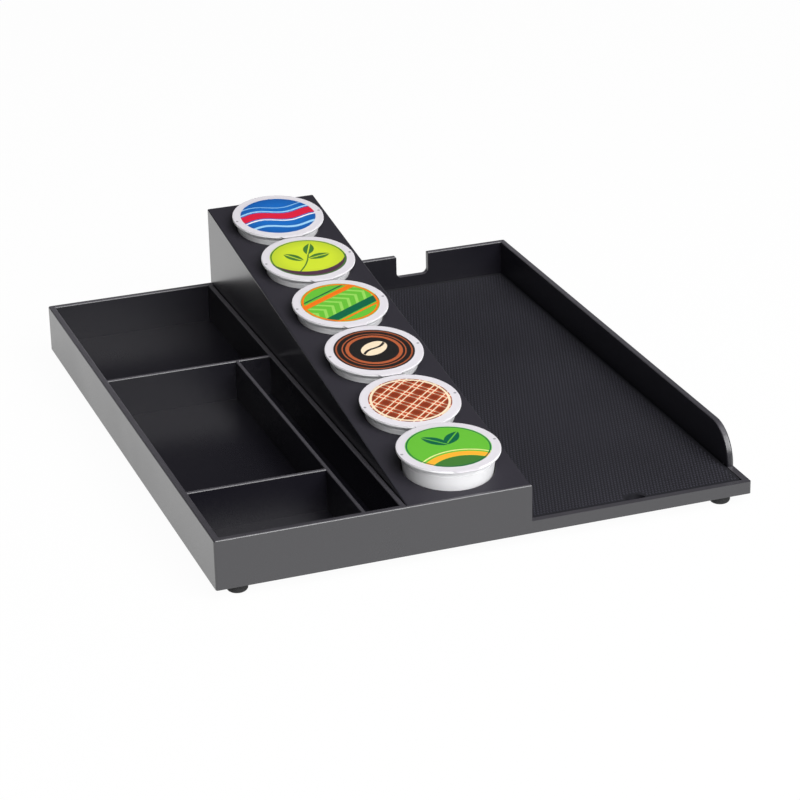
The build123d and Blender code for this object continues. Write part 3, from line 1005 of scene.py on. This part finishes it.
class COFFEETRAY_OT_stage(bpy.types.Operator):
    """Set up the white floor, the studio lights, the world and the camera"""

    bl_idname = "coffeetray.stage"
    bl_label = "Stage"
    top_place, top_size = (0.5, -0.25, 1.5), (1.2, 1.2)
    key_place, key_size = (0.45, -2.14, 1.92), (2.8, 2.2)

    def execute(self, context):
        setup = context.scene.coffee_tray.stage
        self.make_floor(context, setup)
        self.make_light(context, "top_softbox", setup.top_light, self.top_place, self.top_size)
        self.make_light(context, "key_softbox", setup.key_light, self.key_place, self.key_size)
        self.make_world(context, setup)
        self.make_camera(context, setup)
        context.scene.view_settings.view_transform = "Standard"
        return {"FINISHED"}

    def make_floor(self, context, setup):
        """A white floor that shows plain white in part, keeps a faint shadow and is clear from below."""
        half = setup.floor / 2
        mesh = bpy.data.meshes.new("floor")
        corners = [(-half, -half, 0), (half, -half, 0), (half, half, 0), (-half, half, 0)]
        mesh.from_pydata(corners, [], [(0, 1, 2, 3)])
        floor = bpy.data.objects.new("floor", mesh)
        context.scene.collection.objects.link(floor)
        material = bpy.data.materials.new("floor_white")
        material.use_nodes = True
        tree = material.node_tree
        tree.nodes.clear()
        mottle = noise(tree, 0.4)
        paint = mixed(tree, mottle, (0.80, 0.80, 0.80), (0.84, 0.84, 0.84))
        paper = add_node(tree, "ShaderNodeBsdfDiffuse", {"Color": paint})
        glow = add_node(tree, "ShaderNodeEmission", {"Color": (1, 1, 1), "Strength": 1.0})
        light_path = add_node(tree, "ShaderNodeLightPath").outputs
        camera, through, gloss = (
            Field(tree, light_path[f"Is {kind} Ray"]) for kind in ("Camera", "Transmission", "Glossy")
        )
        seen = (camera.higher(through) * setup.white).higher(gloss * setup.mirrored)
        shown = mixed_shader(tree, seen * self.beside_tray(tree), paper.outputs[0], glow.outputs[0])
        clear = add_node(tree, "ShaderNodeBsdfTransparent")
        backside = add_node(tree, "ShaderNodeNewGeometry").outputs["Backfacing"]
        side = mixed_shader(tree, backside, shown, clear.outputs[0])
        feed(tree, add_node(tree, "ShaderNodeOutputMaterial").inputs["Surface"], side)
        mesh.materials.append(material)

    def beside_tray(self, tree):
        """1 on the open floor and 0 well under the tray, by how far a point is inside the tray's outline."""
        low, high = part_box("base_tray")
        place = object_place(tree)
        across, along = ((high[k] - low[k]) / 2 - abs(place[k]) for k in range(2))
        depth, blur = 25 * MM, 10 * MM
        return across.lower(along).below(depth, blur)

    def make_light(self, context, name, energy, place, size):
        """A softbox that faces the tray."""
        lamp = bpy.data.lights.new(name, "AREA")
        lamp.energy, lamp.shape = energy, "RECTANGLE"
        lamp.size, lamp.size_y = size
        light = bpy.data.objects.new(name, lamp)
        light.location = place
        light.rotation_euler = (-Vector(place)).to_track_quat("-Z", "Y").to_euler()
        context.scene.collection.objects.link(light)

    def make_world(self, context, setup):
        """White to the camera. For light and gloss, white near the horizon except on the left, and dim
        above."""
        world = bpy.data.worlds.new("studio")
        world.use_nodes = True
        context.scene.world = world
        tree = world.node_tree
        tree.nodes.clear()
        light_path = add_node(tree, "ShaderNodeLightPath").outputs
        camera, through = (Field(tree, light_path[f"Is {kind} Ray"]) for kind in ("Camera", "Transmission"))
        plain = camera.higher(through)
        right, _, height = parted(tree, add_node(tree, "ShaderNodeTexCoord").outputs["Generated"])
        ceiling_edge, ceiling_blur, backdrop_blur = 0.55, 0.30, 0.14
        left_edge, left_blur = -0.3, 0.4
        under_ceiling = height.below(ceiling_edge, ceiling_blur)
        above = mixed(tree, under_ceiling, (setup.ceiling,) * 3, (setup.room,) * 3)
        band = height.below(setup.backdrop, backdrop_blur) * (1 - right.below(left_edge, left_blur))
        room = mixed(tree, band, above, (0.95, 0.97, 1.0))
        shown = mixed(tree, plain, room, (1, 1, 1))
        background = add_node(tree, "ShaderNodeBackground", {"Color": shown, "Strength": 1.0})
        feed(tree, add_node(tree, "ShaderNodeOutputWorld").inputs["Surface"], background.outputs[0])

    def make_camera(self, context, setup):
        """A camera at its azimuth, elevation and distance from the target, rolled in its picture."""
        a, e, r = setup.azimuth, setup.elevation, setup.roll
        back = Vector((math.sin(a) * math.cos(e), -math.cos(a) * math.cos(e), math.sin(e)))
        level = Vector((math.cos(a), math.sin(a), 0))
        upright = back.cross(level)
        right = level * math.cos(r) + upright * math.sin(r)
        up = upright * math.cos(r) - level * math.sin(r)
        lens = bpy.data.cameras.new("photo_camera")
        lens.lens, lens.sensor_width = setup.lens, 36.0
        lens.clip_start, lens.clip_end = 0.05, 50.0
        camera = bpy.data.objects.new("photo_camera", lens)
        place = Matrix((right, up, back)).transposed().to_4x4()
        place.translation = Vector(setup.target) + back * setup.distance
        camera.matrix_world = place
        context.scene.collection.objects.link(camera)
        context.scene.camera = camera


OPERATORS = (
    COFFEETRAY_OT_mouldings, COFFEETRAY_OT_feet, COFFEETRAY_OT_screws, COFFEETRAY_OT_mat,
    COFFEETRAY_OT_cups, COFFEETRAY_OT_lids, COFFEETRAY_OT_contents, COFFEETRAY_OT_stage,
)


class COFFEETRAY_PT_panel(bpy.types.Panel):
    """Lists the steps and the settings of the coffee tray"""

    bl_idname = "COFFEETRAY_PT_panel"
    bl_label = "Coffee tray"
    bl_space_type = "VIEW_3D"
    bl_region_type = "UI"
    bl_category = "Coffee tray"

    def draw(self, context):
        settings = context.scene.coffee_tray
        for step in OPERATORS:
            self.layout.operator(step.bl_idname)
        for part in ("tray", "mat", "pods", "inks", "stage"):
            box = self.layout.box()
            group = getattr(settings, part)
            for name in group.__annotations__:
                box.prop(group, name)


CLASSES = (TrayFinish, MatFinish, PodFinish, LidInks, StageSetup, CoffeeTray, *OPERATORS, COFFEETRAY_PT_panel)


def register():
    for kind in CLASSES:
        bpy.utils.register_class(kind)
    bpy.types.Scene.coffee_tray = PointerProperty(type=CoffeeTray)


def unregister():
    del bpy.types.Scene.coffee_tray
    for kind in reversed(CLASSES):
        bpy.utils.unregister_class(kind)


def main():
    register()
    for step in OPERATORS:
        family, name = step.bl_idname.split(".")
        getattr(getattr(bpy.ops, family), name)()


if __name__ == "__main__":
    main()
